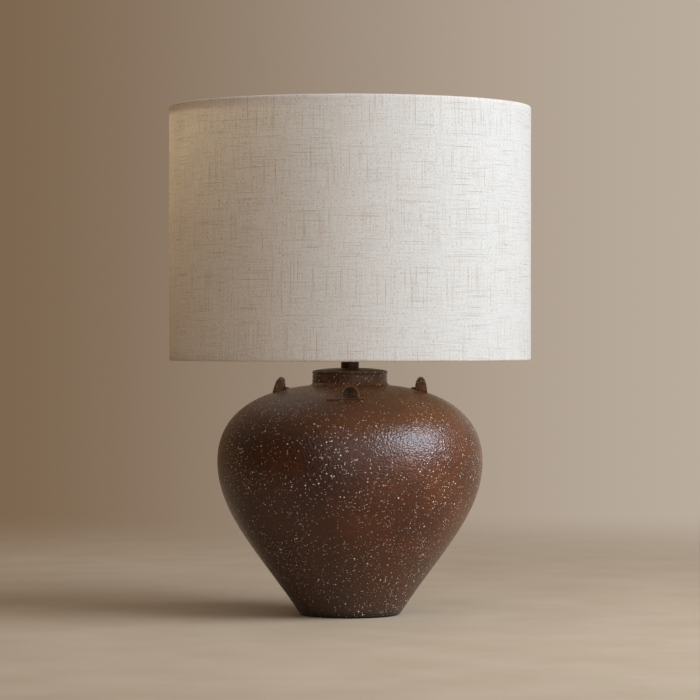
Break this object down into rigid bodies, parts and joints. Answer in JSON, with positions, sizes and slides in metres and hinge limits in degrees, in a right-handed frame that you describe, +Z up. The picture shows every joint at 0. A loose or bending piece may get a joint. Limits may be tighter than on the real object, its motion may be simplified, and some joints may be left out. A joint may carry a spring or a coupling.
{
  "type": "stoneware table lamp",
  "caption": "Round-bellied glazed stoneware jar lamp with arched lugs on its shoulder, a bronze neck, harp and socket, and a plain linen drum shade.",
  "frame": {"origin": "middle of the felt's underside, on the table", "axes": "+Z up along the lamp's axis, -Y towards the front, +X to the right seen from the front"},
  "size_m": [0.4572, 0.4571, 0.65],
  "materials": {
    "felt": "pressed wool felt",
    "stoneware": "satin dark brown glaze with cream speckles over stoneware clay",
    "black_plastic": "moulded satin",
    "zinc_steel": "zinc plated",
    "bronze": "oil rubbed bronze, satin",
    "brass_plate": "brass plated steel, satin",
    "raw_brass": "drawn brass",
    "paper_board": "pressed fibre board",
    "phenolic": "moulded phenolic",
    "solder": "solder drop",
    "black_glass": "pressed black glass",
    "bulb_aluminium": "rolled",
    "opal_glass": "opal coated inside",
    "white_wire": "powder coated",
    "linen": "slubbed natural linen",
    "liner_plastic": "rolled styrene sheet"
  },
  "bodies": {
    "root": {"felt_pad": "felt", "cord_grommet": "black_plastic", "jar": "stoneware", "lug_front": "stoneware", "lug_back": "stoneware", "lug_left": "stoneware", "lug_right": "stoneware", "base_washer": "zinc_steel", "base_nut": "zinc_steel", "center_rod": "zinc_steel", "vase_cap": "bronze", "neck_tube": "bronze", "neck_check_ring": "bronze", "harp_saddle": "bronze", "socket_cap": "brass_plate", "socket_set_screw": "brass_plate", "socket_shell": "brass_plate", "socket_sleeve": "paper_board", "socket_core": "phenolic", "terminal_screws": "raw_brass", "socket_screw_shell": "raw_brass", "center_contact": "raw_brass"},
    "switch": {"switch_spindle": "raw_brass", "switch_knob": "black_plastic"},
    "bulb_carrier": {"bulb_contact": "solder"},
    "bulb": {"bulb_insulator": "black_glass", "bulb_base": "bulb_aluminium", "bulb_glass": "opal_glass"},
    "harp": {"harp_bow": "bronze", "harp_stud": "bronze"},
    "ferrule_left": {"ferrule_left": "bronze"},
    "ferrule_right": {"ferrule_right": "bronze"},
    "shade": {"spider_fitter": "white_wire", "shade_top_ring": "white_wire", "shade_bottom_ring": "white_wire", "shade_fabric": "linen", "shade_liner": "liner_plastic"},
    "finial_carrier": {"finial_base": "bronze"},
    "finial": {"finial_knob": "bronze"}
  },
  "joints": [
    {"name": "switch_turn", "type": "hinge", "parent": "root", "child": "switch", "pos_m": [0, -0.03, 0.3821], "axis": [0, -1, 0], "continuous": true},
    {"name": "bulb_rise", "type": "slide", "parent": "root", "child": "bulb_carrier", "axis": [0, 0, 1], "range_m": [0, 0.02177]},
    {"name": "bulb_turn", "type": "hinge", "parent": "bulb_carrier", "child": "bulb", "pos_m": [0, 0, 0.45], "axis": [0, 0, 1], "range_deg": [0, 2160]},
    {"name": "harp_lift", "type": "slide", "parent": "root", "child": "harp", "axis": [0, 0, 1], "range_m": [0, 0.018]},
    {"name": "ferrule_left_slide", "type": "slide", "parent": "harp", "child": "ferrule_left", "axis": [0, 0, 1], "range_m": [0, 0.012]},
    {"name": "ferrule_right_slide", "type": "slide", "parent": "harp", "child": "ferrule_right", "axis": [0, 0, 1], "range_m": [0, 0.012]},
    {"name": "shade_turn", "type": "hinge", "parent": "harp", "child": "shade", "pos_m": [0, 0, 0.6252], "axis": [0, 0, 1], "continuous": true},
    {"name": "finial_rise", "type": "slide", "parent": "harp", "child": "finial_carrier", "axis": [0, 0, 1], "range_m": [0, 0.00752]},
    {"name": "finial_turn", "type": "hinge", "parent": "finial_carrier", "child": "finial", "pos_m": [0, 0, 0.64], "axis": [0, 0, 1], "range_deg": [0, 2880]}
  ],
  "couplings": [
    {"joint": "bulb_turn", "follows": "bulb_rise", "rad_per_m": 1731.6},
    {"joint": "finial_turn", "follows": "finial_rise", "rad_per_m": 6679}
  ]
}
